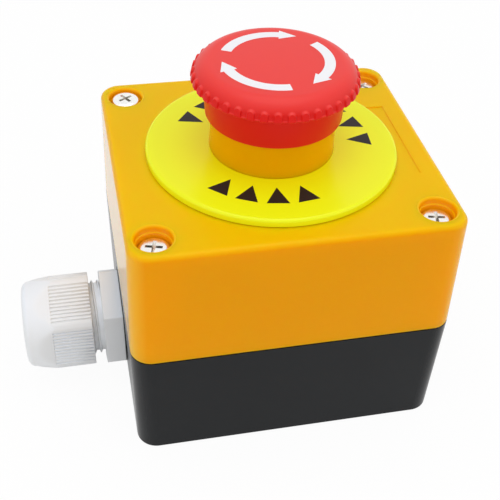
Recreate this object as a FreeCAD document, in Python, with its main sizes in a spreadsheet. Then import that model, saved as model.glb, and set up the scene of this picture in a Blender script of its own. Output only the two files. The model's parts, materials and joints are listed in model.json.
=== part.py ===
import FreeCAD, Part
import math
import os
from types import SimpleNamespace

import Sketcher

# Emergency stop push button in a two-part enclosure with a cable gland.
# Millimetres, +Z up, origin at the centre of the underside of the base.
# The gland leaves the wall towards -X, and the operator's axis is the Z axis.

SIZES = {
    # enclosure, measured at the seam
    "box_width": 77.2,
    "box_depth": 72.0,
    "seam_height": 30.8,
    "cover_height": 31.2,
    "side_wall": 2.5,
    "base_floor": 2.2,
    "cover_roof": 3.0,
    "draft_angle": 1.0,
    "corner_radius": 5.0,
    "roof_round": 1.5,
    "foot_round": 0.6,
    "seam_round": 0.5,
    "window_inset": 5.9,
    "window_half_length": 14.6,
    "window_width": 14.0,
    "window_depth": 0.3,
    "window_chamfer": 0.2,
    # seal in the rim of the base
    "rim_groove_inset": 0.9,
    "rim_groove_width": 0.9,
    "rim_groove_depth": 1.0,
    # cover screws in the corner pillars
    "screw_inset_x": 6.7,
    "screw_inset_y": 7.35,
    "pillar_reach": 5.0,
    "screw_recess_diameter": 8.3,
    "screw_recess_chamfer": 0.75,
    "screw_seat_depth": 5.6,
    "screw_head_diameter": 6.8,
    "screw_head_height": 2.7,
    "loose_screw_lift": 2.2,
    "screw_diameter": 4.0,
    "screw_engagement": 14.0,
    "screw_hole_play": 0.5,
    # holes for wall screws
    "wall_hole_diameter": 4.5,
    "wall_hole_spacing_x": 40.0,
    "wall_hole_spacing_y": 52.0,
    # legend plate and collar
    "plate_diameter": 60.0,
    "plate_thickness": 2.0,
    "plate_bevel": 0.6,
    "collar_base_diameter": 29.9,
    "collar_top_diameter": 28.8,
    "collar_shoulder": 2.5,
    "seal_width": 1.8,
    "seal_thickness": 1.0,
    "seal_offset": 0.9,
    # threaded barrel
    "barrel_diameter": 21.8,
    "barrel_bore": 16.4,
    "barrel_depth": 12.5,
    "barrel_end_wall": 4.0,
    "barrel_flange_step": 1.8,
    "barrel_flange_thickness": 2.5,
    "panel_hole_play": 0.7,
    "nut_diameter": 28.0,
    "nut_thickness": 5.4,
    "nut_notch_count": 6,
    "nut_notch_width": 4.0,
    "nut_notch_depth": 1.4,
    "washer_diameter": 27.2,
    "washer_thickness": 0.6,
    # button travel, head and latch
    "press_travel": 6.0,
    "twist_range": 30.0,
    "pressed_gap": 3.2,
    "collar_overlap": 1.8,
    "ceiling_gap": 0.5,
    "crown_thickness": 4.6,
    "crown_rise": 0.1,
    "rim_height": 4.5,
    "rim_diameter": 37.7,
    "rim_roll_radius": 4.2,
    "tooth_count": 40,
    "tooth_radius": 1.0,
    "tooth_height": 2.6,
    "tooth_projection": 0.45,
    "tooth_phase": 6.6,
    "skirt_play": 0.15,
    "skirt_wall": 0.87,
    "skirt_flare": 0.6,
    "head_boss_wall": 1.5,
    "head_boss_length": 5.5,
    "sleeve_diameter": 11.6,
    "sleeve_length": 19.5,
    "lug_angle": 24.0,
    "lug_height": 2.5,
    "lug_reach": 1.2,
    "track_play": 0.3,
    "track_angle_play": 3.0,
    "stem_diameter": 6.0,
    "stem_head_diameter": 8.8,
    "stem_head_thickness": 1.8,
    "clip_thickness": 1.0,
    "clip_width": 2.2,
    "clip_groove_depth": 0.4,
    "pusher_width": 17.0,
    "pusher_depth": 9.0,
    "pusher_thickness": 2.6,
    # springs
    "return_wire": 0.9,
    "return_mean_diameter": 10.4,
    "return_turns": 3.0,
    "torsion_wire": 0.9,
    "torsion_mean_diameter": 17.2,
    "torsion_turns": 2.0,
    "contact_wire": 0.5,
    "contact_mean_diameter": 4.4,
    "contact_turns": 4.0,
    # contact blocks under the barrel
    "carrier_width": 25.0,
    "carrier_length": 36.0,
    "carrier_thickness": 3.5,
    "carrier_ring_height": 5.0,
    "carrier_ring_wall": 2.6,
    "carrier_screw_diameter": 3.0,
    "carrier_screw_head": 5.0,
    "carrier_screw_head_height": 1.6,
    "block_width": 10.2,
    "block_length": 40.0,
    "block_height": 28.0,
    "block_gap": 0.6,
    "block_wall": 1.3,
    "block_roof": 2.0,
    "block_base_thickness": 1.5,
    "cavity_length": 24.0,
    "divider_wall": 1.5,
    "plunger_side": 5.0,
    "plunger_pin_diameter": 2.8,
    "plunger_pin_length": 5.0,
    "bridge_length": 21.0,
    "bridge_width": 5.0,
    "bridge_thickness": 1.0,
    "bridge_drop": 8.6,
    "button_diameter": 3.2,
    "button_height": 0.5,
    "button_spacing": 18.0,
    "strip_thickness": 1.0,
    "strip_width": 5.0,
    "strip_inset": 1.0,
    "strip_overlap": 4.0,
    "terminal_inset": 3.6,
    "terminal_screw_diameter": 3.0,
    "terminal_head_diameter": 5.0,
    "terminal_head_height": 2.0,
    "terminal_screw_depth": 5.0,
    "clamp_side": 5.8,
    "clamp_thickness": 1.2,
    # cable gland
    "gland_height": 13.9,
    "gland_offset": -1.0,
    "gland_thread_diameter": 20.3,
    "gland_bore": 14.0,
    "gland_inner_length": 10.0,
    "gland_pad_diameter": 25.0,
    "gland_gasket_diameter": 22.2,
    "gland_gasket_thickness": 0.8,
    "gland_flange_flats": 23.4,
    "gland_flange_thickness": 4.8,
    "gland_flange_turn": 10.0,
    "gland_neck_diameter": 17.8,
    "gland_neck_length": 2.9,
    "gland_thread_reach": 6.0,
    "gland_finger_length": 6.5,
    "gland_finger_slots": 6,
    "gland_finger_slot": 1.0,
    "cap_flats": 23.2,
    "cap_corner_diameter": 25.9,
    "cap_hex_length": 10.5,
    "cap_dome_length": 6.6,
    "cap_dome_diameter": 18.7,
    "cap_turn": 6.0,
    "cap_rib_count": 10,
    "cap_rib_pitch": 1.07,
    "cap_rib_groove": 0.6,
    "cap_rib_depth": 0.4,
    "cap_rib_land": 0.6,
    "cap_dome_radius": 9.9,
    "locknut_flats": 22.0,
    "locknut_thickness": 5.0,
    "locknut_turn": 30.0,
    "cable_diameter": 10.0,
    # clearances
    "running_fit": 0.05,
    "seat_fit": 0.05,
    "moving_gap": 0.3,
    "contact_gap": 0.1,
}

HEX_SIDES = 6
HEX_HALF_ANGLE = 180 / HEX_SIDES

doc = FreeCAD.newDocument("EmergencyStop")
sheet = doc.addObject("Spreadsheet::Sheet", "Sizes")
nodes = []


class Size:
    """A number together with the sheet formula that gives it."""

    def __init__(self, value, formula):
        self.value = value
        self.formula = formula

    @staticmethod
    def of(number):
        return number if isinstance(number, Size) else Size(number, repr(number))

    def combined(self, other, sign, value):
        return Size(value, f"({self.formula} {sign} {other.formula})")

    def __add__(self, other):
        other = Size.of(other)
        return self.combined(other, "+", self.value + other.value)

    def __sub__(self, other):
        other = Size.of(other)
        return self.combined(other, "-", self.value - other.value)

    def __mul__(self, other):
        other = Size.of(other)
        return self.combined(other, "*", self.value * other.value)

    def __truediv__(self, other):
        other = Size.of(other)
        return self.combined(other, "/", self.value / other.value)

    def __radd__(self, other):
        return Size.of(other) + self

    def __rsub__(self, other):
        return Size.of(other) - self

    def __rmul__(self, other):
        return Size.of(other) * self

    def __neg__(self):
        return Size(-self.value, f"(-1 * {self.formula})")


def cosine(angle):
    angle = Size.of(angle)
    return Size(math.cos(math.radians(angle.value)), f"cos({angle.formula})")


def sine(angle):
    angle = Size.of(angle)
    return Size(math.sin(math.radians(angle.value)), f"sin({angle.formula})")


def tangent(angle):
    angle = Size.of(angle)
    return Size(math.tan(math.radians(angle.value)), f"tan({angle.formula})")


def fill_sheet():
    """Write every driving size to the sheet and return them by name."""
    named = {}
    for row, (name, value) in enumerate(SIZES.items(), start=1):
        sheet.set(f"A{row}", name)
        sheet.set(f"B{row}", str(value))
        sheet.setAlias(f"B{row}", name)
        named[name] = Size(value, f"Sizes.{name}")
    doc.recompute()
    return SimpleNamespace(**named)


d = fill_sheet()


def bind(thing, prop, size):
    thing.setExpression(prop, Size.of(size).formula)


def place(thing, x=0, y=0, z=0):
    for axis, size in (("x", x), ("y", y), ("z", z)):
        if isinstance(size, Size) or size != 0:
            bind(thing, f"Placement.Base.{axis}", size)
    return thing


def node(thing, label):
    """Give the finished sub-part its own label and list it for export."""
    thing.Label = label
    nodes.append(thing)
    return thing


# Sketches and features of bodies

def new_body(name):
    return doc.addObject("PartDesign::Body", name)


def origin_feature(body, role):
    return next(feature for feature in body.Origin.OriginFeatures if feature.Role == role)


def new_sketch(body, name, role="XY_Plane", height=None):
    sketch = body.newObject("Sketcher::SketchObject", name)
    sketch.AttachmentSupport = [(origin_feature(body, role), "")]
    sketch.MapMode = "FlatFace"
    if height is not None:
        bind(sketch, "AttachmentOffset.Base.z", height)
    return sketch


def fix_point(sketch, shape, end, x, y):
    """Tie one point of a sketch to its distances from the origin."""
    for kind, size in (("DistanceX", Size.of(x)), ("DistanceY", Size.of(y))):
        index = sketch.addConstraint(Sketcher.Constraint(kind, -1, 1, shape, end, size.value))
        sketch.setExpression(f"Constraints[{index}]", size.formula)


def fix_radius(sketch, shape, radius):
    index = sketch.addConstraint(Sketcher.Constraint("Radius", shape, Size.of(radius).value))
    sketch.setExpression(f"Constraints[{index}]", Size.of(radius).formula)


def arc_between(start, end, radius, turn):
    """Arc of under half a circle, counter-clockwise for turn 1 and clockwise for -1."""
    chord = end - start
    half = chord.Length / 2
    across = FreeCAD.Vector(-chord.y, chord.x, 0).normalize()
    centre = (start + end) / 2 + across * (turn * math.sqrt(max(radius**2 - half**2, 0.0)))
    first, last = (start, end) if turn > 0 else (end, start)
    angles = [math.atan2(p.y - centre.y, p.x - centre.x) for p in (first, last)]
    circle = Part.Circle(centre, FreeCAD.Vector(0, 0, 1), radius)
    return Part.ArcOfCircle(circle, angles[0], angles[1])


def draw_outline(sketch, corners):
    """Closed outline; a corner with a radius and a turn starts an arc to the next one."""
    count = len(corners)
    points = [FreeCAD.Vector(Size.of(c[0]).value, Size.of(c[1]).value, 0) for c in corners]
    ends = []
    for i, corner in enumerate(corners):
        start, end = points[i], points[(i + 1) % count]
        if len(corner) == 2:
            shape = sketch.addGeometry(Part.LineSegment(start, end), False)
            ends.append((shape, 1, 2))
        else:
            radius, turn = corner[2], corner[3]
            shape = sketch.addGeometry(arc_between(start, end, Size.of(radius).value, turn), False)
            ends.append((shape, 1, 2) if turn > 0 else (shape, 2, 1))
    for i in range(count):
        shape, _, end = ends[i]
        following, next_start, _ = ends[(i + 1) % count]
        sketch.addConstraint(Sketcher.Constraint("Coincident", shape, end, following, next_start))
    for i, corner in enumerate(corners):
        shape, start, _ = ends[i]
        fix_point(sketch, shape, start, corner[0], corner[1])
        if len(corner) > 2:
            fix_radius(sketch, shape, corner[2])


def draw_circle(sketch, radius, x=0, y=0):
    centre = FreeCAD.Vector(Size.of(x).value, Size.of(y).value, 0)
    circle = Part.Circle(centre, FreeCAD.Vector(0, 0, 1), Size.of(radius).value)
    shape = sketch.addGeometry(circle, False)
    fix_point(sketch, shape, 3, x, y)
    fix_radius(sketch, shape, radius)


def rectangle(width, depth, x=0, y=0):
    left, right = x - width / 2, x + width / 2
    near, far = y - depth / 2, y + depth / 2
    return [(left, near), (right, near), (right, far), (left, far)]


def rounded_rectangle(width, depth, radius):
    """Corners of a rectangle about the origin with round corners, counter-clockwise."""
    across, along = width / 2, depth / 2
    inner_across, inner_along = across - radius, along - radius
    return [
        (-inner_across, -along), (inner_across, -along, radius, 1),
        (across, -inner_along), (across, inner_along, radius, 1),
        (inner_across, along), (-inner_across, along, radius, 1),
        (-across, inner_along), (-across, -inner_along, radius, 1),
    ]


def turned_point(out, aside, angle):
    """Point at a distance out along an angle and aside from that line."""
    return (out * cosine(angle) - aside * sine(angle), out * sine(angle) + aside * cosine(angle))


def polygon(circumradius, count, turn):
    angles = [turn + 360.0 * i / count for i in range(count)]
    return [(circumradius * cosine(angle), circumradius * sine(angle)) for angle in angles]


def pad(body, sketch, length, taper=None, downwards=False):
    feature = body.newObject("PartDesign::Pad", sketch.Name + "_pad")
    feature.Profile = sketch
    feature.Reversed = downwards
    bind(feature, "Length", length)
    if taper is not None:
        bind(feature, "TaperAngle", taper)
    return feature


def pocket(body, sketch, length, upwards=False):
    feature = body.newObject("PartDesign::Pocket", sketch.Name + "_pocket")
    feature.Profile = sketch
    feature.Reversed = upwards
    bind(feature, "Length", length)
    return feature


def revolve(body, sketch, kind="PartDesign::Revolution"):
    feature = body.newObject(kind, sketch.Name + "_turn")
    feature.Profile = sketch
    feature.ReferenceAxis = (sketch, ["V_Axis"])
    feature.Angle = 360
    return feature


def polar_pattern(body, features, count):
    pattern = body.newObject("PartDesign::PolarPattern", features[0].Name + "_pattern")
    pattern.Originals = features
    pattern.Axis = (origin_feature(body, "Z_Axis"), [""])
    pattern.Angle = 360
    bind(pattern, "Occurrences", count)
    body.Tip = pattern
    return pattern


def dress_edges(body, feature, kind, prop, size, wanted):
    """Fillet or chamfer the edges of a feature that pass a test."""
    doc.recompute()
    edges = enumerate(feature.Shape.Edges, start=1)
    names = [f"Edge{number}" for number, edge in edges if wanted(edge)]
    dressed = body.newObject(kind, feature.Name + "_dressed")
    dressed.Base = (feature, names)
    bind(dressed, prop, size)
    return dressed


def spans_height(edge, low, high):
    return edge.BoundBox.ZMin < low and edge.BoundBox.ZMax > high


def lies_at(edge, level):
    near = 0.01
    return abs(edge.BoundBox.ZMin - level) < near and abs(edge.BoundBox.ZMax - level) < near


def turned(name, corners):
    """Body turned about the Z axis from corners given as (radius, height)."""
    body = new_body(name)
    sketch = new_sketch(body, name + "_profile", "XZ_Plane")
    draw_outline(sketch, corners)
    revolve(body, sketch)
    return body


# Solids and their combinations

def cylinder(name, radius, height, x=0, y=0, z=0):
    solid = doc.addObject("Part::Cylinder", name)
    bind(solid, "Radius", radius)
    bind(solid, "Height", height)
    return place(solid, x, y, z)


def sector(name, radius, height, start, angle, z):
    """Slice of a cylinder about the Z axis that begins at a given angle."""
    solid = cylinder(name, radius, height, z=z)
    bind(solid, "Angle", angle)
    solid.Placement.Rotation = FreeCAD.Rotation(FreeCAD.Vector(0, 0, 1), 0)
    bind(solid, "Placement.Rotation.Angle", start)
    return solid


def block(name, width, depth, height, x=0, y=0, z=0):
    """Box centred on x and y that stands on z."""
    solid = doc.addObject("Part::Box", name)
    bind(solid, "Length", width)
    bind(solid, "Width", depth)
    bind(solid, "Height", height)
    return place(solid, x - Size.of(width) / 2, y - Size.of(depth) / 2, z)


def prism(name, flats, height, turn, z=0):
    solid = doc.addObject("Part::Prism", name)
    solid.Polygon = HEX_SIDES
    bind(solid, "Circumradius", flats / (2 * cosine(HEX_HALF_ANGLE)))
    bind(solid, "Height", height)
    solid.Placement.Rotation = FreeCAD.Rotation(FreeCAD.Vector(0, 0, 1), 0)
    bind(solid, "Placement.Rotation.Angle", turn)
    return place(solid, z=z)


def fuse(name, solids):
    feature = doc.addObject("Part::MultiFuse", name)
    feature.Shapes = solids
    return feature


def cut(name, base, tools):
    feature = doc.addObject("Part::Cut", name)
    feature.Base = base
    feature.Tool = tools[0] if len(tools) == 1 else fuse(name + "_tools", tools)
    return feature


def group(name, solids):
    feature = doc.addObject("Part::Compound", name)
    feature.Links = solids
    return feature


def coil(name, mean_diameter, wire, length, turns, z):
    """Spring of square wire, its ends held inside the given length."""
    helix = doc.addObject("Part::Helix", name + "_path")
    bind(helix, "Radius", mean_diameter / 2)
    bind(helix, "Height", length - wire)
    bind(helix, "Pitch", (length - wire) / turns)
    section = doc.addObject("Part::Plane", name + "_section")
    bind(section, "Length", wire)
    bind(section, "Width", wire)
    section.Placement.Rotation = FreeCAD.Rotation(FreeCAD.Vector(1, 0, 0), 90)
    place(section, x=mean_diameter / 2 - wire / 2, z=-wire / 2)
    sweep = doc.addObject("Part::Sweep", name)
    sweep.Sections = [section]
    sweep.Spine = (helix, ["Edge1"])
    sweep.Solid = True
    sweep.Frenet = True
    return place(sweep, z=z + wire / 2)


# Heights of the stack, from the floor to the crown

box_height = d.seam_height + d.cover_height
roof_under = box_height - d.cover_roof
plate_top = box_height + d.plate_thickness
shoulder_top = plate_top + d.collar_shoulder
barrel_top = shoulder_top + d.barrel_flange_thickness
barrel_bottom = roof_under - d.barrel_depth
barrel_floor = barrel_bottom + d.barrel_end_wall
skirt_bottom = plate_top + d.pressed_gap + d.press_travel
collar_top = skirt_bottom + d.collar_overlap
ceiling = collar_top + d.press_travel + d.ceiling_gap
head_top = ceiling + d.crown_thickness
rim_bottom = head_top - d.rim_height
sleeve_bottom = ceiling - d.sleeve_length
clip_top = sleeve_bottom - d.contact_gap
clip_bottom = clip_top - d.clip_thickness
block_top = barrel_bottom - d.carrier_thickness
block_bottom = block_top - d.block_height
pusher_top = barrel_bottom - d.moving_gap
pusher_bottom = pusher_top - d.pusher_thickness
plunger_top = pusher_bottom - d.moving_gap

# Radii about the operator's axis

barrel_radius = d.barrel_diameter / 2
bore_radius = d.barrel_bore / 2
flange_radius = barrel_radius + d.barrel_flange_step
panel_hole_radius = barrel_radius + d.panel_hole_play / 2
collar_base_radius = d.collar_base_diameter / 2
skirt_inner_radius = collar_base_radius + d.skirt_play
skirt_outer_radius = skirt_inner_radius + d.skirt_wall
sleeve_radius = d.sleeve_diameter / 2
stem_radius = d.stem_diameter / 2
lug_radius = bore_radius + d.lug_reach

# Places in plan

screw_x = d.box_width / 2 - d.screw_inset_x
screw_y = d.box_depth / 2 - d.screw_inset_y
corners = [(-1, -1), (1, -1), (1, 1), (-1, 1)]
screw_places = [(screw_x * sx, screw_y * sy) for sx, sy in corners]
inner_width = d.box_width - 2 * d.side_wall
inner_depth = d.box_depth - 2 * d.side_wall
screw_hole_radius = (d.screw_diameter + d.screw_hole_play) / 2


def cavity_outline():
    """Inside of the walls with the four corner pillars left standing."""
    far_x, far_y = inner_width / 2, inner_depth / 2
    near_x, near_y = screw_x - d.pillar_reach, screw_y - d.pillar_reach
    return [
        (-near_x, -far_y), (near_x, -far_y), (near_x, -near_y), (far_x, -near_y),
        (far_x, near_y), (near_x, near_y), (near_x, far_y), (-near_x, far_y),
        (-near_x, near_y), (-far_x, near_y), (-far_x, -near_y), (-near_x, -near_y),
    ]


def rim_outline(inset):
    """Outline of the rim moved inwards by an inset."""
    return rounded_rectangle(
        d.box_width - 2 * inset, d.box_depth - 2 * inset, d.corner_radius - inset)


def shell_block(body, name, height, level, narrow_end_up):
    """Drafted block with round upright corners, its wide end at the seam."""
    sketch = new_sketch(body, name + "_outline", height=d.seam_height)
    draw_outline(sketch, rectangle(d.box_width, d.box_depth))
    solid = pad(body, sketch, height, taper=-d.draft_angle, downwards=not narrow_end_up)
    low, high = (level + height * 0.25).value, (level + height * 0.75).value
    return dress_edges(body, solid, "PartDesign::Fillet", "Radius", d.corner_radius,
                       lambda edge: spans_height(edge, low, high))


def make_base():
    body = new_body("Base")
    solid = shell_block(body, "base", d.seam_height, Size.of(0), narrow_end_up=False)
    dress_edges(body, solid, "PartDesign::Fillet", "Radius", d.foot_round,
                lambda edge: lies_at(edge, 0.0))
    boss = new_sketch(body, "gland_pad", "YZ_Plane", height=-d.box_width / 2)
    draw_circle(boss, d.gland_pad_diameter / 2, d.gland_offset, d.gland_height)
    pad(body, boss, d.side_wall)
    cavity = new_sketch(body, "base_cavity", height=d.seam_height)
    draw_outline(cavity, cavity_outline())
    pocket(body, cavity, d.seam_height - d.base_floor)
    groove = new_sketch(body, "rim_groove", height=d.seam_height)
    draw_outline(groove, rim_outline(d.rim_groove_inset))
    draw_outline(groove, rim_outline(d.rim_groove_inset + d.rim_groove_width))
    pocket(body, groove, d.rim_groove_depth)
    pilots = new_sketch(body, "base_pilots", height=d.seam_height)
    for x, y in screw_places:
        draw_circle(pilots, d.screw_diameter / 2 + d.seat_fit, x, y)
    pocket(body, pilots, d.screw_engagement + d.moving_gap)
    wall_holes = new_sketch(body, "wall_holes", height=d.base_floor)
    for sx, sy in corners:
        draw_circle(wall_holes, d.wall_hole_diameter / 2,
                    d.wall_hole_spacing_x / 2 * sx, d.wall_hole_spacing_y / 2 * sy)
    pocket(body, wall_holes, d.base_floor)
    entry = new_sketch(body, "gland_hole", "YZ_Plane", height=-d.box_width / 2)
    draw_circle(entry, d.gland_thread_diameter / 2 + d.seat_fit, d.gland_offset, d.gland_height)
    pocket(body, entry, d.side_wall, upwards=True)
    return node(body, "enclosure_base")


def make_cover():
    body = new_body("Cover")
    solid = shell_block(body, "cover", d.cover_height, d.seam_height, narrow_end_up=True)
    roofed = dress_edges(body, solid, "PartDesign::Fillet", "Radius", d.roof_round,
                         lambda edge: lies_at(edge, box_height.value))
    dress_edges(body, roofed, "PartDesign::Fillet", "Radius", d.seam_round,
                lambda edge: lies_at(edge, d.seam_height.value))
    cavity = new_sketch(body, "cover_cavity", height=d.seam_height)
    draw_outline(cavity, cavity_outline())
    pocket(body, cavity, d.cover_height - d.cover_roof, upwards=True)
    hole = new_sketch(body, "panel_hole", height=box_height)
    draw_circle(hole, panel_hole_radius)
    pocket(body, hole, d.cover_roof)
    window = new_sketch(body, "roof_window", height=box_height)
    window_x = d.box_width / 2 - d.window_inset - d.window_width / 2
    draw_outline(window, rectangle(d.window_width, 2 * d.window_half_length, x=window_x))
    sunk = pocket(body, window, d.window_depth)
    window_reach = (d.window_width / 2 + d.seat_fit).value
    dress_edges(body, sunk, "PartDesign::Chamfer", "Size", d.window_chamfer,
                lambda edge: lies_at(edge, box_height.value)
                and isinstance(edge.Curve, Part.Line)
                and abs(edge.CenterOfMass.x - window_x.value) < window_reach
                and abs(edge.CenterOfMass.y) < (d.window_half_length + d.seat_fit).value)
    clear = new_sketch(body, "screw_holes", height=box_height)
    for x, y in screw_places:
        draw_circle(clear, screw_hole_radius, x, y)
    pocket(body, clear, d.cover_height)
    seats = new_sketch(body, "screw_recesses", height=box_height)
    for x, y in screw_places:
        draw_circle(seats, d.screw_recess_diameter / 2, x, y)
    recess = pocket(body, seats, d.screw_seat_depth)
    mouth = d.screw_recess_diameter.value / 2
    dress_edges(body, recess, "PartDesign::Chamfer", "Size", d.screw_recess_chamfer,
                lambda edge: lies_at(edge, box_height.value)
                and isinstance(edge.Curve, Part.Circle)
                and abs(edge.Curve.Radius - mouth) < d.seat_fit.value)
    return node(body, "enclosure_cover")


def make_cover_gasket():
    body = new_body("CoverGasket")
    sketch = new_sketch(body, "gasket_ring", height=d.seam_height)
    outer = d.rim_groove_inset + d.seat_fit
    draw_outline(sketch, rim_outline(outer))
    draw_outline(sketch, rim_outline(outer + d.rim_groove_width - 2 * d.seat_fit))
    pad(body, sketch, d.rim_groove_depth, downwards=True)
    return node(body, "cover_gasket")


def make_cover_screws():
    """Four screws in the corner recesses, the last one not driven home."""
    seated = box_height - d.screw_seat_depth
    shank = d.cover_height - d.screw_seat_depth + d.screw_engagement
    screws = []
    for number, (x, y) in enumerate(screw_places, start=1):
        seat = seated + d.loose_screw_lift if number == len(screw_places) else seated
        head = cylinder(f"CoverScrewHead{number}", d.screw_head_diameter / 2,
                        d.screw_head_height, x, y, seat)
        stalk = cylinder(f"CoverScrewShank{number}", d.screw_diameter / 2,
                         shank, x, y, seat - shank)
        screws.append(fuse(f"CoverScrew{number}", [head, stalk]))
    return node(group("CoverScrews", screws), "cover_screws")


def make_legend_plate():
    inner, outer = panel_hole_radius, d.plate_diameter / 2
    body = turned("LegendPlate", [
        (inner, box_height), (outer, box_height), (outer, plate_top - d.plate_bevel),
        (outer - d.plate_bevel, plate_top), (inner, plate_top)])
    return node(body, "legend_plate")


def make_collar():
    bore, recess = barrel_radius + d.seat_fit, flange_radius + d.moving_gap
    seal_inner = barrel_radius + d.seal_offset
    seal_outer = seal_inner + d.seal_width
    seal_top = plate_top + d.seal_thickness
    body = turned("BezelCollar", [
        (bore, plate_top), (seal_inner, plate_top), (seal_inner, seal_top),
        (seal_outer, seal_top), (seal_outer, plate_top), (collar_base_radius, plate_top),
        (d.collar_top_diameter / 2, collar_top), (recess, collar_top),
        (recess, shoulder_top), (bore, shoulder_top)])
    node(body, "bezel_collar")
    ring = turned("PanelSeal", [
        (seal_inner + d.seat_fit, plate_top), (seal_outer - d.seat_fit, plate_top),
        (seal_outer - d.seat_fit, seal_top), (seal_inner + d.seat_fit, seal_top)])
    return node(ring, "panel_seal")


def make_barrel():
    """Threaded barrel with two bayonet tracks that the lugs of the sleeve run in."""
    guide = stem_radius + d.running_fit
    tube = turned("BarrelTube", [
        (guide, barrel_bottom), (barrel_radius, barrel_bottom), (barrel_radius, shoulder_top),
        (flange_radius, shoulder_top), (flange_radius, barrel_top), (bore_radius, barrel_top),
        (bore_radius, barrel_floor), (guide, barrel_floor)])
    track_radius = lug_radius + d.moving_gap
    leg_height = d.lug_height + 2 * d.track_play
    channel_angle = d.lug_angle + 2 * d.track_angle_play
    upper = sleeve_bottom - d.track_play
    lower = upper - d.press_travel
    tracks = []
    for side in (0, 180):
        start = side - channel_angle / 2
        name = f"Track{side}"
        tracks.append(sector(name + "Channel", track_radius, barrel_top - lower,
                             start, channel_angle, lower))
        for leg, level in (("Upper", upper), ("Lower", lower)):
            tracks.append(sector(name + leg, track_radius, leg_height,
                                 start, channel_angle + d.twist_range, level))
    return node(cut("Barrel", tube, tracks), "operator_barrel")


def make_fixing_nut():
    washer_bottom = roof_under - d.washer_thickness
    bore = barrel_radius + d.seat_fit
    washer = turned("LockWasher", [
        (bore, washer_bottom), (d.washer_diameter / 2, washer_bottom),
        (d.washer_diameter / 2, roof_under), (bore, roof_under)])
    node(washer, "lock_washer")
    nut_bottom = washer_bottom - d.nut_thickness
    outer = d.nut_diameter / 2
    ring = turned("NutRing", [
        (bore, nut_bottom), (outer, nut_bottom), (outer, washer_bottom), (bore, washer_bottom)])
    notch = new_sketch(ring, "nut_notch", height=washer_bottom)
    draw_outline(notch, rectangle(2 * d.nut_notch_depth, d.nut_notch_width, x=outer))
    notch_cut = pocket(ring, notch, d.nut_thickness)
    polar_pattern(ring, [notch_cut], d.nut_notch_count)
    return node(ring, "fixing_nut")


def make_head():
    """Red head: skirt over the collar, toothed rim, rolled edge and slightly domed crown."""
    rim_radius = d.rim_diameter / 2
    roll_end = rim_radius - d.rim_roll_radius
    crown_edge = head_top - d.crown_rise
    roll_start = crown_edge - d.rim_roll_radius
    crown_radius = (roll_end * roll_end + d.crown_rise * d.crown_rise) / (2 * d.crown_rise)
    boss_inner = sleeve_radius + d.seat_fit
    boss_outer = boss_inner + d.head_boss_wall
    boss_bottom = ceiling - d.head_boss_length
    body = turned("MushroomHead", [
        (skirt_inner_radius, skirt_bottom), (skirt_outer_radius, skirt_bottom),
        (skirt_outer_radius + d.skirt_flare, rim_bottom), (rim_radius, rim_bottom),
        (rim_radius, roll_start, d.rim_roll_radius, 1),
        (roll_end, crown_edge, crown_radius, 1), (0, head_top), (0, ceiling),
        (boss_inner, ceiling), (boss_inner, boss_bottom), (boss_outer, boss_bottom),
        (boss_outer, ceiling), (skirt_inner_radius, ceiling)])
    tooth = new_sketch(body, "rim_tooth", height=rim_bottom)
    tooth_circle = rim_radius + d.tooth_projection - d.tooth_radius
    draw_circle(tooth, d.tooth_radius, *turned_point(tooth_circle, Size.of(0), d.tooth_phase))
    bump = pad(body, tooth, d.tooth_height)
    polar_pattern(body, [bump], d.tooth_count)
    return node(body, "mushroom_head")


def make_sleeve():
    """Sleeve under the head with two lugs that latch in the barrel's tracks."""
    bore = stem_radius + d.running_fit
    counterbore = d.stem_head_diameter / 2 + d.contact_gap
    ledge = ceiling - d.moving_gap - d.stem_head_thickness
    tube = turned("SleeveTube", [
        (bore, sleeve_bottom), (sleeve_radius, sleeve_bottom), (sleeve_radius, ceiling),
        (counterbore, ceiling), (counterbore, ledge), (bore, ledge)])
    middle = turned("SleeveCore", [
        (0, sleeve_bottom), (bore + d.clip_width / 2, sleeve_bottom),
        (bore + d.clip_width / 2, sleeve_bottom + d.lug_height), (0, sleeve_bottom + d.lug_height)])
    lugs = [sector(f"Lug{side}", lug_radius, d.lug_height, side - d.lug_angle / 2,
                   d.lug_angle, sleeve_bottom) for side in (0, 180)]
    lug_arms = cut("LugArms", fuse("LugPair", lugs), [middle])
    return node(fuse("ReleaseSleeve", [tube, lug_arms]), "release_sleeve")


def make_stem():
    head_top_level = ceiling - d.moving_gap
    head_under = head_top_level - d.stem_head_thickness
    groove = stem_radius - d.clip_groove_depth
    stem = turned("PlungerStem", [
        (0, pusher_bottom), (stem_radius, pusher_bottom), (stem_radius, clip_bottom),
        (groove, clip_bottom), (groove, clip_top), (stem_radius, clip_top),
        (stem_radius, head_under), (d.stem_head_diameter / 2, head_under),
        (d.stem_head_diameter / 2, head_top_level), (0, head_top_level)])
    node(stem, "plunger_stem")
    inner = groove + d.seat_fit
    outer = inner + d.clip_width
    ring = turned("ClipRing", [
        (inner, clip_bottom), (outer, clip_bottom), (outer, clip_top), (inner, clip_top)])
    mouth = block("ClipMouth", outer, 2 * groove - d.clip_groove_depth,
                  d.clip_thickness, x=outer / 2, z=clip_bottom)
    node(cut("StemClip", ring, [mouth]), "stem_clip")
    foot = block("PusherFoot", d.pusher_width, d.pusher_depth, d.pusher_thickness, z=pusher_bottom)
    hole = cylinder("PusherHole", stem_radius + d.seat_fit, d.pusher_thickness, z=pusher_bottom)
    return node(cut("ContactPusher", foot, [hole]), "contact_pusher")


def make_operator_springs():
    lift = coil("ReturnSpring", d.return_mean_diameter, d.return_wire,
                clip_bottom - barrel_floor, d.return_turns, barrel_floor)
    node(lift, "return_spring")
    length = d.head_boss_length
    twist = coil("TorsionSpring", d.torsion_mean_diameter, d.torsion_wire,
                 length, d.torsion_turns, ceiling - length)
    return node(twist, "torsion_spring")


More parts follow.
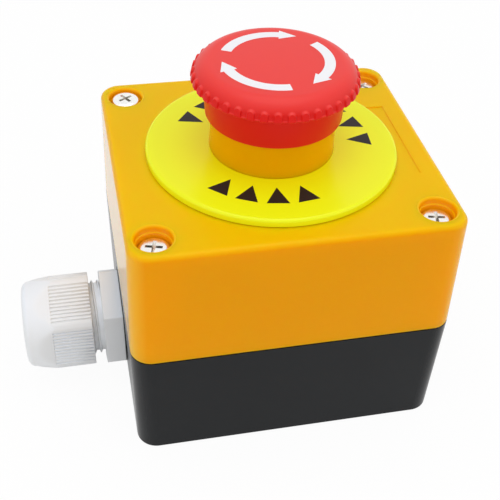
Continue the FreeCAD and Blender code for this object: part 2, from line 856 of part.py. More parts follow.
def make_carrier():
    """Clamp ring on the barrel's lower end with the plate that holds both blocks."""
    ring_outer = barrel_radius + d.carrier_ring_wall
    ring_level = barrel_bottom + d.carrier_ring_height / 2
    plate = block("CarrierPlate", d.carrier_width, d.carrier_length, d.carrier_thickness, z=block_top)
    ring = cylinder("CarrierRing", ring_outer, d.carrier_ring_height, z=barrel_bottom)
    seat = cylinder("CarrierSeat", barrel_radius + d.seat_fit, d.carrier_ring_height, z=barrel_bottom)
    passage = block("CarrierPassage", d.pusher_width + 2 * d.moving_gap,
                    d.pusher_depth + 2 * d.moving_gap, d.carrier_thickness, z=block_top)
    screws = []
    holes = []
    for side in (-1, 1):
        name = f"CarrierScrew{'Near' if side < 0 else 'Far'}"
        turn = FreeCAD.Rotation(FreeCAD.Vector(1, 0, 0), -90 * side)
        shank = cylinder(name + "Shank", d.carrier_screw_diameter / 2,
                         d.carrier_ring_wall - d.seat_fit)
        head = cylinder(name + "Head", d.carrier_screw_head / 2, d.carrier_screw_head_height)
        hole = cylinder(name + "Hole", d.carrier_screw_diameter / 2 + d.seat_fit,
                        d.carrier_ring_wall)
        for solid, distance in ((shank, barrel_radius + d.seat_fit), (head, ring_outer),
                                (hole, barrel_radius)):
            solid.Placement.Rotation = turn
            place(solid, y=distance * side, z=ring_level)
        screws.append(fuse(name, [shank, head]))
        holes.append(hole)
    body = fuse("CarrierBody", [plate, ring])
    node(cut("ContactCarrier", body, [seat, passage] + holes), "contact_carrier")
    return node(group("CarrierScrews", screws), "carrier_screws")


def make_contact_block(kind, side, strip_bottom, strip_above_bridge):
    """One contact block: housing, base, plunger, bridge, spring and fixed strips."""
    x = (d.block_width + d.block_gap) / 2 * side
    cavity_width = d.block_width - 2 * d.block_wall
    strip_top = strip_bottom + d.strip_thickness
    chamber_start = d.cavity_length / 2 + d.divider_wall
    chamber_length = d.block_length / 2 - chamber_start
    strip_start = d.bridge_length / 2 - d.strip_overlap
    strip_end = d.block_length / 2 - d.strip_inset
    screw_y_place = d.block_length / 2 - d.terminal_inset
    base_top = block_bottom + d.block_base_thickness

    shell = block(kind + "Shell", d.block_width, d.block_length, d.block_height, x, 0, block_bottom)
    cavity = block(kind + "Cavity", cavity_width, d.cavity_length,
                   d.block_height - d.block_roof, x, 0, block_bottom)
    notch_bottom = pusher_bottom - d.press_travel - d.moving_gap
    notch = block(kind + "Notch", d.block_width, d.pusher_depth + 2 * d.moving_gap,
                  block_top - notch_bottom, x - d.block_wall * side, 0, notch_bottom)
    tools = [cavity, notch]
    strips, screws, clamps = [], [], []
    for end in (-1, 1):
        name = f"{kind}{'Near' if end < 0 else 'Far'}"
        middle = chamber_start + chamber_length / 2
        tools.append(block(name + "Chamber", cavity_width, chamber_length,
                           strip_top - block_bottom, x, middle * end, block_bottom))
        tools.append(block(name + "Slot", d.strip_width + 2 * d.seat_fit, d.divider_wall,
                           d.strip_thickness + 2 * d.seat_fit, x,
                           (chamber_start - d.divider_wall / 2) * end, strip_bottom - d.seat_fit))
        tools.append(cylinder(name + "ScrewHole", d.terminal_screw_diameter / 2 + d.seat_fit,
                              d.terminal_screw_depth, x, screw_y_place * end, strip_top))
        strip = block(name + "Strip", d.strip_width, strip_end - strip_start,
                      d.strip_thickness, x, (strip_start + strip_end) / 2 * end, strip_bottom)
        strip_hole = cylinder(name + "StripHole", d.terminal_screw_diameter / 2 + d.seat_fit,
                              d.strip_thickness, x, screw_y_place * end, strip_bottom)
        strips.append(cut(name + "FixedStrip", strip, [strip_hole]))
        clamp_bottom = strip_bottom - d.clamp_thickness
        washer = block(name + "ClampPlate", d.clamp_side, d.clamp_side, d.clamp_thickness,
                       x, screw_y_place * end, clamp_bottom)
        washer_hole = cylinder(name + "ClampHole", d.terminal_screw_diameter / 2 + d.seat_fit,
                               d.clamp_thickness, x, screw_y_place * end, clamp_bottom)
        clamps.append(cut(name + "Clamp", washer, [washer_hole]))
        shank_length = d.clamp_thickness + d.strip_thickness + d.terminal_screw_depth - d.moving_gap
        shank = cylinder(name + "Shank", d.terminal_screw_diameter / 2, shank_length,
                         x, screw_y_place * end, clamp_bottom)
        head = cylinder(name + "ScrewHead", d.terminal_head_diameter / 2, d.terminal_head_height,
                        x, screw_y_place * end, clamp_bottom - d.terminal_head_height)
        screws.append(fuse(name + "Screw", [shank, head]))
    node(cut(kind + "Housing", shell, tools), f"{kind}_block_housing")
    node(group(kind + "Strips", strips), f"{kind}_fixed_contacts")

    lid = block(kind + "Lid", cavity_width - 2 * d.seat_fit, d.cavity_length - 2 * d.seat_fit,
                d.block_base_thickness, x, 0, block_bottom)
    node(lid, f"{kind}_block_base")

    if strip_above_bridge:
        bridge_top = strip_bottom - d.contact_gap - d.button_height
        button_level = bridge_top
    else:
        bridge_top = strip_top + d.contact_gap + d.press_travel + d.button_height + d.bridge_thickness
        button_level = bridge_top - d.bridge_thickness - d.button_height
    bridge_bottom = bridge_top - d.bridge_thickness
    pin_radius = d.plunger_pin_diameter / 2
    post = block(kind + "Post", d.plunger_side, d.plunger_side, plunger_top - bridge_top, x, 0, bridge_top)
    pin = cylinder(kind + "Pin", pin_radius, d.plunger_pin_length, x, 0,
                   bridge_top - d.plunger_pin_length)
    node(fuse(kind + "Plunger", [post, pin]), f"{kind}_plunger")
    bar = block(kind + "Bar", d.bridge_width, d.bridge_length, d.bridge_thickness, x, 0, bridge_bottom)
    buttons = [cylinder(f"{kind}Button{'Near' if end < 0 else 'Far'}", d.button_diameter / 2,
                        d.button_height, x, d.button_spacing / 2 * end, button_level)
               for end in (-1, 1)]
    eye = cylinder(kind + "Eye", pin_radius + d.seat_fit, d.bridge_thickness, x, 0, bridge_bottom)
    node(cut(kind + "Bridge", fuse(kind + "BridgeBody", [bar] + buttons), [eye]), f"{kind}_bridge")
    spring = coil(kind + "Spring", d.contact_mean_diameter, d.contact_wire,
                  bridge_bottom - base_top, d.contact_turns, base_top)
    place(spring, x=x, z=base_top + d.contact_wire / 2)
    node(spring, f"{kind}_spring")
    return screws, clamps


def make_contacts():
    """Normally closed block on the right of the axis, normally open block on the left."""
    nc_strip = block_top - d.bridge_drop + d.contact_gap
    no_strip = (block_top - d.bridge_drop - d.button_height - d.press_travel
                - d.contact_gap - d.strip_thickness)
    nc_screws, nc_clamps = make_contact_block("nc", 1, nc_strip, True)
    no_screws, no_clamps = make_contact_block("no", -1, no_strip, False)
    node(group("TerminalScrews", nc_screws + no_screws), "terminal_screws")
    return node(group("TerminalClamps", nc_clamps + no_clamps), "terminal_clamps")


# The gland is built about the Z axis with its wall seat at zero, then turned out through the wall

def set_in_wall(thing, label):
    thing.Placement.Rotation = FreeCAD.Rotation(FreeCAD.Vector(0, 1, 0), -90)
    place(thing, -d.box_width / 2, d.gland_offset, d.gland_height)
    return node(thing, label)


flange_end = d.gland_flange_thickness
cap_start = flange_end + d.gland_neck_length
cap_hex_end = cap_start + d.cap_hex_length
cap_end = cap_hex_end + d.cap_dome_length
thread_end = cap_start + d.gland_thread_reach
finger_end = thread_end + d.gland_finger_length
gland_bore_radius = d.gland_bore / 2
neck_radius = d.gland_neck_diameter / 2
thread_radius = d.gland_thread_diameter / 2


def make_gland_body():
    finger_tip = gland_bore_radius + d.gland_finger_slot
    tube = turned("GlandTube", [
        (gland_bore_radius, -d.gland_inner_length), (thread_radius, -d.gland_inner_length),
        (thread_radius, flange_end), (neck_radius, flange_end), (neck_radius, thread_end),
        (finger_tip, finger_end), (gland_bore_radius, finger_end)])
    flange = prism("GlandFlange", d.gland_flange_flats, d.gland_flange_thickness,
                   d.gland_flange_turn)
    passage = cylinder("GlandPassage", gland_bore_radius, d.gland_flange_thickness)
    gasket_recess = cylinder("GasketRecess", d.gland_gasket_diameter / 2 + d.seat_fit,
                             d.gland_gasket_thickness)
    hollow_flange = cut("GlandHexRing", flange, [passage, gasket_recess])
    slots = []
    for number in range(int(d.gland_finger_slots.value)):
        slot = block(f"FingerSlot{number}", neck_radius, d.gland_finger_slot,
                     d.gland_finger_length, z=thread_end)
        angle = 360 / int(d.gland_finger_slots.value) * number
        slot.Placement.Rotation = FreeCAD.Rotation(FreeCAD.Vector(0, 0, 1), angle)
        half = d.gland_finger_slot / 2
        place(slot, x=half * sine(angle) + d.cable_diameter / 2 * cosine(angle),
              y=-half * cosine(angle) + d.cable_diameter / 2 * sine(angle), z=thread_end)
        slots.append(slot)
    body = cut("GlandBody", fuse("GlandOuter", [tube, hollow_flange]), slots)
    return set_in_wall(body, "gland_body")


def make_gland_rings():
    bore = thread_radius + d.seat_fit
    gasket = turned("GlandGasket", [
        (bore, 0), (d.gland_gasket_diameter / 2, 0),
        (d.gland_gasket_diameter / 2, d.gland_gasket_thickness), (bore, d.gland_gasket_thickness)])
    set_in_wall(gasket, "gland_gasket")
    outer = gland_bore_radius - d.seat_fit
    inner = d.cable_diameter / 2
    seal = turned("GlandSeal", [
        (inner, flange_end), (outer, flange_end), (outer, finger_end), (inner, finger_end)])
    set_in_wall(seal, "gland_seal")
    hexagon = prism("LocknutHex", d.locknut_flats, d.locknut_thickness, d.locknut_turn,
                    -d.side_wall - d.locknut_thickness)
    hole = cylinder("LocknutHole", bore, d.locknut_thickness, z=-d.side_wall - d.locknut_thickness)
    return set_in_wall(cut("GlandLocknut", hexagon, [hole]), "gland_locknut")


def make_cap_nut():
    """Domed hexagonal cap nut, its flats ribbed by rows of shallow grooves."""
    body = new_body("CapNut")
    hexagon = new_sketch(body, "cap_hexagon", height=cap_start)
    circumradius = d.cap_flats / (2 * cosine(HEX_HALF_ANGLE))
    draw_outline(hexagon, polygon(circumradius, HEX_SIDES, d.cap_turn))
    pad(body, hexagon, d.cap_hex_length)
    ribs = new_sketch(body, "cap_ribs", height=cap_start)
    facing = d.cap_turn + HEX_HALF_ANGLE
    count = int(d.cap_rib_count.value)
    mouth_level = d.cap_flats / 2 + d.seat_fit
    root_level = d.cap_flats / 2 - d.cap_rib_depth
    for number in range(count):
        middle = d.cap_rib_pitch * (number - (count - 1) / 2)
        draw_outline(ribs, [
            turned_point(mouth_level, middle - d.cap_rib_groove / 2, facing),
            turned_point(mouth_level, middle + d.cap_rib_groove / 2, facing),
            turned_point(root_level, middle, facing)])
    rib_cut = pocket(body, ribs, d.cap_hex_length - d.cap_rib_land, upwards=True)
    polar_pattern(body, [rib_cut], HEX_SIDES)
    bore = neck_radius + d.seat_fit
    rounded = d.cap_corner_diameter / 2
    dome_foot = d.cap_flats / 2
    dome = new_sketch(body, "cap_dome", "XZ_Plane")
    mouth = gland_bore_radius + d.gland_finger_slot
    draw_outline(dome, [
        (mouth, cap_hex_end), (dome_foot, cap_hex_end, d.cap_dome_radius, 1),
        (d.cap_dome_diameter / 2, cap_end), (mouth, cap_end)])
    revolve(body, dome)
    hollow = new_sketch(body, "cap_hollow", "XZ_Plane")
    clear = d.moving_gap
    draw_outline(hollow, [
        (0, cap_start), (bore, cap_start), (bore, thread_end + clear),
        (mouth + clear, finger_end + clear), (mouth, finger_end + clear),
        (mouth, cap_end), (0, cap_end)])
    revolve(body, hollow, "PartDesign::Groove")
    turned_corners = turned("CapCorners", [
        (0, cap_start), (rounded, cap_start), (rounded, cap_hex_end),
        (rounded, cap_end), (0, cap_end)])
    shape = doc.addObject("Part::Common", "CapRounded")
    shape.Base = body
    shape.Tool = turned_corners
    return set_in_wall(shape, "gland_cap_nut")


def failed_objects():
    return [thing.Label for thing in doc.Objects
            if "Invalid" in thing.State or "Error" in thing.State]


def export_nodes():
    doc.recompute()
    failed = failed_objects()
    if failed:
        raise RuntimeError(f"not computed: {failed}")
    for thing in nodes:
        if thing.Shape.isNull() or not thing.Shape.isValid() or not thing.Shape.Solids:
            raise RuntimeError(f"bad shape: {thing.Label}")
    os.makedirs("parts", exist_ok=True)
    for thing in nodes:
        thing.Shape.exportStep(f"parts/{thing.Label}.step")


make_base()
make_cover()
make_cover_gasket()
make_cover_screws()
make_legend_plate()
make_collar()
make_barrel()
make_fixing_nut()
make_head()
make_sleeve()
make_stem()
make_operator_springs()
make_carrier()
make_contacts()
make_gland_body()
make_gland_rings()
make_cap_nut()
export_nodes()
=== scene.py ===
import json
import math

import bmesh
import bpy
from mathutils import Matrix, Vector
from mathutils.geometry import tessellate_polygon


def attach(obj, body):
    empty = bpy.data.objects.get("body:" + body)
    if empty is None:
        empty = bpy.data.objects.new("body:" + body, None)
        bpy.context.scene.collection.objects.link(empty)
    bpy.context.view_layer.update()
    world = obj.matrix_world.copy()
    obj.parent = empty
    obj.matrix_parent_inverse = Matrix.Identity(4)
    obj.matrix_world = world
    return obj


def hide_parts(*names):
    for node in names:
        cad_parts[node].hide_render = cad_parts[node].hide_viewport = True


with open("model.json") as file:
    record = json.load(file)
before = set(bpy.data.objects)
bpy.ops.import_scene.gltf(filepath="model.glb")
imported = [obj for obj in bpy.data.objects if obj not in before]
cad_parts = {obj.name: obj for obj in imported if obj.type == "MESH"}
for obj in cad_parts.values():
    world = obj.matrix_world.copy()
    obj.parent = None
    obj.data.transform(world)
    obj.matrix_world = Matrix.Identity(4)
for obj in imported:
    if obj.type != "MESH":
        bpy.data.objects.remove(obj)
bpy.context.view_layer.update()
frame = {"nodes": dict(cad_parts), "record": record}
nodes = frame["nodes"]
scene = bpy.context.scene
scene.view_settings.view_transform = "Standard"

MM = 0.001
TURN = 2 * math.pi
QUARTER_TURN = math.pi / 2

# The sizes of the pieces are in millimetres and their angles in degrees.
# A count named LINES is the number of lines round a turned piece, or round one tooth.

# Roof of the box and the round plate on it
BOX_TOP = 62.0
PLATE_TOP = 64.0
PLATE_RADIUS = 30.0
PLATE_HOLE = 11.25
PLATE_EDGE = 0.8
PLATE_CHAMFER = 0.25
PLATE_GUARD = 0.6
PLATE_LINES = 180

# Pointers printed on the plate, in rows of (count, first place, step)
POINTER_ROWS = ((4, -133.0, 17.0), (9, 143.5, -18.6))
POINTER_TIP = 18.2
POINTER_FOOT = 23.9
POINTER_HALF_WIDTH = 2.6
POINTER_LIFT = 0.02
POINTER_THICKNESS = 0.1

# Head: crown, rolled shoulder, rim, skirt and inner boss
HEAD_TOP = 85.85
HEAD_CEILING = 81.5
CROWN_RISE = 0.1
CROWN_STEPS = 8
RIM_BOTTOM = 81.35
RIM_RADIUS = 18.85
RIM_EDGE = 0.3
RIM_EDGE_STEPS = 6
RIM_LIP = 0.2
RIM_LIP_HEIGHT = 0.25
RIM_ROW_HEIGHT = 0.1
ROLL_RADIUS = 4.2
ROLL_END = RIM_RADIUS - ROLL_RADIUS
ROLL_START = HEAD_TOP - CROWN_RISE - ROLL_RADIUS
ROLL_STEP = 3
ROLL_STEPS = 15
SKIRT_BOTTOM = 72.85
SKIRT_INNER = 15.1
SKIRT_OUTER = 15.97
SKIRT_FLARE = 0.6
SKIRT_CHAMFER = 0.15
SKIRT_EDGE = 0.25
BOSS_INNER = 5.82
BOSS_OUTER = 7.32
BOSS_BOTTOM = 76.0

# Teeth of the rim: half widths of land and foot, lean and round top
TOOTH_COUNT = 40
TOOTH_LINES = 16
TOOTH_PHASE = 6.6
TOOTH_HEIGHT = 0.45
TOOTH_TIP = RIM_RADIUS + TOOTH_HEIGHT
TOOTH_LAND = 0.72
TOOTH_FOOT = 1.14
TOOTH_DROP = 0.9
TOOTH_FALL = 3.0
TOOTH_SOFT = 0.15
TOOTH_LEAN = 0.25
TOOTH_LEAN_START = 81.95
TOOTH_DOME = 82.7

# Arrows printed on the crown
ARROW_COUNT = 3
ARROW_START = 152.0
ARROW_SWEEP = 77.0
ARROW_REACH = 96.0
ARROW_STEPS = 40
ARROW_INNER = 10.7
ARROW_OUTER = 13.15
ARROW_TIP = 12.4
BARB_INNER = 9.95
BARB_OUTER = 14.0
ARROW_SHIFT = 0.15
ARROW_LIFT = 0.045
ARROW_THICKNESS = 0.15

# Cover screws: a place, a lift and a turn of the cross for each
SCREW_X = 31.9
SCREW_Y = 28.65
SCREW_PLACES = ((-SCREW_X, -SCREW_Y), (SCREW_X, -SCREW_Y), (SCREW_X, SCREW_Y), (-SCREW_X, SCREW_Y))
SCREW_LIFTS = (0.3, 0.4, 0.6, 2.2)
CROSS_TURNS = (76, 78, 40, 31)
SCREW_SEAT = 56.4
SCREW_LINES = 64
SCREW_HEAD_RADIUS = 3.55
SCREW_HEAD_HEIGHT = 2.9
SCREW_FLAT_RADIUS = 2.5
SCREW_EDGE_HEIGHT = 0.7
SHANK_RADIUS = 2.0
SHANK_LENGTH = 30.0
CROSS_HALF_WIDTH = 0.38
CROSS_REACH = 1.9
CROSS_DEPTH = 1.9
ROOT_HALF_WIDTH = 0.18
ROOT_REACH = 0.55

# Lining of a screw recess: radii, and depths below the roof
RECESS_MOUTH = 4.87
RECESS_BRIM = 0.755
RECESS_WALL = 4.08
RECESS_FOOT = 3.62
RECESS_DEPTH = 5.5
RECESS_LINES = 72
LEDGE_TOP = 1.6
LEDGE_RADIUS = 3.86
LEDGE_FOOT = 1.85
LINING_SINK = 0.005
LINING_EDGE = 4.96
LINING_EDGE_TOP = 0.04
LINING_EDGE_FOOT = 0.2
LINING_BACK = 4.25
LINING_BACK_TOP = 0.95

# Cable gland: its own axis runs out of the wall from this point
GLAND_FOOT = Vector((-38.6, -1.0, 13.9))
FLANGE_ROUNDING = 0.6
FLANGE_SEGMENTS = 3
FLANGE_ANGLE = 40

# Cap nut of the gland: ribbed hexagon, dome and nose, by the run from its inner end
CAP_START = 7.7
CAP_END = 24.8
CAP_FLATS = 22.9
CAP_TURN = 6.0
CAP_CORNER = 12.8
CAP_CORNER_SHARES = (0.85, 0.89, 0.92, 0.95, 0.975)
CAP_CHAMFER = 0.15
CAP_EDGE = 0.12
CAP_SHARP_ANGLE = 40
SIDE_COUNT = 6
SIDE_ANGLE = 360 / SIDE_COUNT
RIB_COUNT = 11
RIB_PITCH = 0.98
RIB_GROOVE = 0.54
RIB_DEPTH = 0.36
RIB_END = 10.0
RIB_ROW_SHARES = (0.5, 0.85, 0.93, 0.98, 1)
CORNER_SOFT = 0.25
DOME_SOFT = 0.3
DOME_START = 10.5
DOME_RADIUS = 12.55
DOME_SLOPE = 0.31
DOME_STEPS = 12
DOME_SPREAD = 0.8
NOSE_START = 15.1
NOSE_LENGTH = 2.0
NOSE_RADIUS = 9.2
NOSE_BULGE = 0.95
NOSE_STEP = 12
NOSE_STEPS = 7

# Inside of the cap nut: depths from its outer end, then runs from its inner end
FACE_RADIUS = 9.1
MOUTH_RADIUS = 8.0
MOUTH_CHAMFER = 0.25
MOUTH_DEPTH = 3.8
CONE_WIDENING = 0.3
CONE_DEPTH = 4.2
BORE_RADIUS = 8.92
BORE_END = 6.4
BORE_START = 1.6
RELIEF_RADIUS = 9.75
RELIEF_END = 1.4

# Thread on the gland's neck: radii and half widths of its ridge
NECK_RADIUS = 8.9
RIDGE_ROOT = 8.6
RIDGE_ROOT_HALF = 0.5
RIDGE_FOOT_HALF = 0.4
RIDGE_TIP = 9.62
RIDGE_TIP_HALF = 0.1
RIDGE_LOW = 5.1
RIDGE_PITCH = 1.5
RIDGE_FIRST = -11.0
RIDGE_SWEEP = 744.0
RIDGE_STEPS = 190
RIDGE_FADE = 8

# Meshes: joining distances in metres, and the least angle of a sharp edge
MERGE_DISTANCE = 1e-7
WELD_DISTANCE = 1e-6
SHARP_ANGLE = 32

# Materials, with lengths in metres
DRIFT_DETAIL = 3.0
GRAIN_DETAIL = 2.0
GRAIN_HEIGHT = 0.0001
LEAST_ROUGHNESS = 0.02
# Facings over which faces that look up or to either side take their painted-light colours and grow rougher
FACING_START = 0.3
FACING_FULL = 0.95
# Distances from the Z axis over which the plate takes its lighter, painted-light colour near the head
PAINTED_CORE_EDGE = 0.027
PAINTED_CORE_FULL = 0.015
SCATTER_RADIUS = (1.0, 0.4, 0.05)
SCATTER_SCALE = 0.004

# Camera, solved from edges and circles of the photograph
CAMERA_YAW = math.radians(13.6208)
CAMERA_PITCH = math.radians(40.6588)
CAMERA_ROLL = math.radians(-2.8679)
CAMERA_PLACE = Vector((-46.744, -176.785, 186.614)) * MM
FOCAL_PIXELS = 915.75
IMAGE_PIXELS = 500
SENSOR_WIDTH = 36.0
CAMERA_SHIFT = 0.0005
CLIP_START = 0.01
CLIP_END = 20.0

# World and floor, with lengths in metres
WHITE = (1, 1, 1, 1)
SKY_STRENGTH = 0.55
ROOM_LEAST = 0.25
ROOM_TILT = 1.2
ROOM_DARK_END = -0.75
ROOM_FULL_START = -0.05
FLOOR_HALF = 3.0
FLOOR_DROP = 0.00005
PAPER_COLOUR = (0.94, 0.94, 0.94, 1)
PAPER_ROUGHNESS = 0.9
PAPER_GLOW = 0.95
GLOSSY_GLOW_CHANGE = -0.5


def smooth_max(a, b, soft):
    """Larger of two numbers with a rounded step between them."""
    share = max(soft - abs(a - b), 0.0) / soft
    return max(a, b) + share * share * soft / 4


def smooth_min(a, b, soft):
    return -smooth_max(-a, -b, soft)


def ramp(value, low, high):
    """Eased rise from 0 at low to 1 at high."""
    t = min(max((value - low) / (high - low), 0.0), 1.0)
    return t * t * (3 - 2 * t)


# Shader nodes

def add_node(tree, kind):
    return tree.nodes.new("ShaderNode" + kind)


def calculated(tree, operation, *values):
    """Result of a math node on decimal numbers or on the outputs of other nodes."""
    made = add_node(tree, "Math")
    made.operation = operation
    for value, socket in zip(values, made.inputs):
        if isinstance(value, float):
            socket.default_value = value
        else:
            tree.links.new(value, socket)
    return made.outputs[0]


def mapped(tree, value, from_min=0.0, from_max=1.0, to_min=0.0, to_max=1.0):
    """A value taken from one range to another and held within it."""
    made = add_node(tree, "MapRange")
    made.inputs["From Min"].default_value = from_min
    made.inputs["From Max"].default_value = from_max
    made.inputs["To Min"].default_value = to_min
    made.inputs["To Max"].default_value = to_max
    tree.links.new(value, made.inputs["Value"])
    return made.outputs["Result"]


def mixed_shader(tree, share, one, two):
    """One shader that goes over to another by a share."""
    mix = add_node(tree, "MixShader")
    for value, socket in zip((share, one, two), mix.inputs):
        tree.links.new(value, socket)
    return mix.outputs[0]


def separated(tree, vector):
    """Outputs X, Y and Z of a vector."""
    made = add_node(tree, "SeparateXYZ")
    tree.links.new(vector, made.inputs[0])
    return made.outputs


# Materials

def noise(tree, where, scale, detail):
    """Noise that is fixed to the object."""
    made = add_node(tree, "TexNoise")
    made.inputs["Scale"].default_value = scale
    made.inputs["Detail"].default_value = detail
    tree.links.new(where.outputs["Object"], made.inputs["Vector"])
    return made.outputs["Fac"]


def drifting(tree, drift, colour, tint):
    """A colour that wanders a little about its middle."""
    mix = add_node(tree, "Mix")
    mix.data_type = "RGBA"
    mix.inputs["A"].default_value = (*[c * (1 - tint) for c in colour], 1)
    mix.inputs["B"].default_value = (*[min(c * (1 + tint), 1.0) for c in colour], 1)
    tree.links.new(drift, mix.inputs["Factor"])
    return mix.outputs["Result"]


def blended(tree, share, outer, inner):
    """Outer colour that goes over to the inner one by a share."""
    mix = add_node(tree, "Mix")
    mix.data_type = "RGBA"
    tree.links.new(share, mix.inputs["Factor"])
    tree.links.new(outer, mix.inputs["A"])
    tree.links.new(inner, mix.inputs["B"])
    return mix.outputs["Result"]


def axis_distance(tree, where):
    """Distance from the object's Z axis."""
    flat = add_node(tree, "VectorMath")
    flat.operation = "MULTIPLY"
    flat.inputs[1].default_value = (1, 1, 0)
    tree.links.new(where.outputs["Object"], flat.inputs[0])
    length = add_node(tree, "VectorMath")
    length.operation = "LENGTH"
    tree.links.new(flat.outputs["Vector"], length.inputs[0])
    return length.outputs["Value"]


def surface(name, colour, roughness, tint=0.06, patch=60.0, grain=1800.0, bump=0.015, metallic=0.0,
            specular=0.5, spread=0.04, scatter=0.0, painted_top_light=None, upper_rough=0.0, side=None, painted_core_light=None):
    """Moulded or drawn surface with a slow colour drift, a fine grain and uneven gloss.
    Faces that look up may take a lighter colour, which is painted light. Faces that look to either side
    may take a paler colour, a painted sheen, and the middle about the Z axis a lighter one, painted light
    against the shade there. Faces that look up may also be rougher."""
    material = bpy.data.materials.new(name)
    material.use_nodes = True
    tree = material.node_tree
    shader = tree.nodes["Principled BSDF"]
    where = add_node(tree, "TexCoord")
    drift = noise(tree, where, patch, DRIFT_DETAIL)
    shade = drifting(tree, drift, colour, tint)
    gloss = mapped(tree, drift, to_min=max(roughness - spread, LEAST_ROUGHNESS), to_max=roughness + spread)
    # Painted light: faces that look up take a lighter colour.
    if painted_top_light:
        upward = mapped(tree, separated(tree, where.outputs["Normal"])["Z"], FACING_START, FACING_FULL)
        shade = blended(tree, upward, shade, drifting(tree, drift, painted_top_light, tint))
        if upper_rough:
            gloss = calculated(tree, "MULTIPLY_ADD", upward, upper_rough, gloss)
    # Painted sheen: faces that look to either side take a paler colour.
    if side:
        either = calculated(tree, "ABSOLUTE", separated(tree, where.outputs["Normal"])["X"])
        sideways = mapped(tree, either, FACING_START, FACING_FULL)
        shade = blended(tree, sideways, shade, drifting(tree, drift, side, tint))
    # Painted light: the middle about the Z axis takes a lighter colour against the shade there.
    if painted_core_light:
        inward = mapped(tree, axis_distance(tree, where), PAINTED_CORE_EDGE, PAINTED_CORE_FULL)
        shade = blended(tree, inward, shade, drifting(tree, drift, painted_core_light, tint))
    relief = add_node(tree, "Bump")
    relief.inputs["Strength"].default_value = bump
    relief.inputs["Distance"].default_value = GRAIN_HEIGHT
    tree.links.new(noise(tree, where, grain, GRAIN_DETAIL), relief.inputs["Height"])
    tree.links.new(shade, shader.inputs["Base Color"])
    tree.links.new(gloss, shader.inputs["Roughness"])
    tree.links.new(relief.outputs["Normal"], shader.inputs["Normal"])
    shader.inputs["Metallic"].default_value = metallic
    shader.inputs["Specular IOR Level"].default_value = specular
    if scatter:
        shader.inputs["Subsurface Weight"].default_value = scatter
        shader.inputs["Subsurface Radius"].default_value = SCATTER_RADIUS
        shader.inputs["Subsurface Scale"].default_value = SCATTER_SCALE
    return material


# Amber: lighter on faces that look up, which is painted light, and paler on side walls, a painted sheen.
amber = surface("amber_plastic", (0.87, 0.345, 0.0), roughness=0.04, tint=0.02, specular=0.08, spread=0.01,
                scatter=0.7, painted_top_light=(0.89, 0.52, 0.0), upper_rough=0.3, side=(0.885, 0.46, 0.02))
# Lighter copy of amber for the collar: painted light against the head's shade, and lighter on top.
painted_light_amber = surface("amber_collar_painted_light", (1.0, 0.4, 0.0), roughness=0.15, tint=0.02, specular=0.08, spread=0.01,
                     scatter=0.7, painted_top_light=(0.9, 0.54, 0.0))
# More orange copy of amber for the screw recesses: painted bounce light, and lighter on top, painted light.
painted_bounce_amber = surface("amber_recess_painted_bounce", (0.98, 0.38, 0.0), roughness=0.2, tint=0.02, specular=0.1,
                     painted_top_light=(0.89, 0.535, 0.0))
black = surface("black_plastic", (0.0112, 0.0124, 0.0138), roughness=0.2, tint=0.15, specular=0.15,
                spread=0.02, bump=0.04)
# Lemon: lighter near the head's axis, which is painted light against the head's shade on the plate.
lemon = surface("lemon_plastic", (0.86, 0.925, 0.007), roughness=0.24, tint=0.008, specular=0.24,
                spread=0.01, painted_core_light=(0.96, 1.0, 0.003))
# Red: lighter and pinker on faces that look up, a painted sheen on the crown.
red = surface("red_plastic", (0.71, 0.012, 0.009), roughness=0.33, tint=0.012, specular=0.14, spread=0.02,
              scatter=0.15, painted_top_light=(0.84, 0.058, 0.052))
white_ink = surface("white_ink", (0.88, 0.88, 0.91), roughness=0.45, tint=0.02)
dark_ink = surface("dark_ink", (0.016, 0.011, 0.011), roughness=0.45, tint=0.15, specular=0.2)
# Grey polyamide: lighter and cooler on faces that look up, painted light.
polyamide = surface("grey_polyamide", (0.8, 0.815, 0.832), roughness=0.42, tint=0.015, specular=0.4,
                    painted_top_light=(0.865, 0.905, 0.97))
rubber = surface("rubber", (0.02, 0.02, 0.02), roughness=0.7, tint=0.15)
zinc = surface("zinc_steel", (0.90, 0.90, 0.88), roughness=0.2, tint=0.08, metallic=1.0, patch=400.0)
# Darker zinc for the screws' cross recesses is painted shade.
painted_shade_zinc = surface("zinc_recess_painted_shade", (0.7, 0.68, 0.64), roughness=0.22, tint=0.15, metallic=1.0, patch=400.0)
wire = surface("spring_steel", (0.5, 0.5, 0.49), roughness=0.35, tint=0.08, metallic=1.0)
brass = surface("contact_brass", (0.72, 0.5, 0.2), roughness=0.35, tint=0.08, metallic=1.0)
dark_polyamide = surface("dark_polyamide", (0.03, 0.03, 0.031), roughness=0.5, tint=0.15)
acetal = surface("acetal", (0.78, 0.78, 0.75), roughness=0.4, tint=0.03)

FINISH = {
    "base_plastic": black, "cover_plastic": amber, "legend_plastic": lemon, "head_plastic": red,
    "gland_plastic": polyamide, "rubber": rubber, "screw_steel": zinc, "spring_steel": wire,
    "operator_plastic": dark_polyamide, "block_plastic": dark_polyamide,
    "plunger_plastic": acetal, "contact_brass": brass,
}
for sub in frame["record"]["subparts"]:
    node = nodes[sub["node"]]
    node.data.materials.clear()
    node.data.materials.append(FINISH[sub["material_slot"]])
# The collar takes the lighter copy of amber, which is painted light.
nodes["bezel_collar"].data.materials[0] = painted_light_amber


# Skins, which are pairs of points and faces, and the pieces made of them

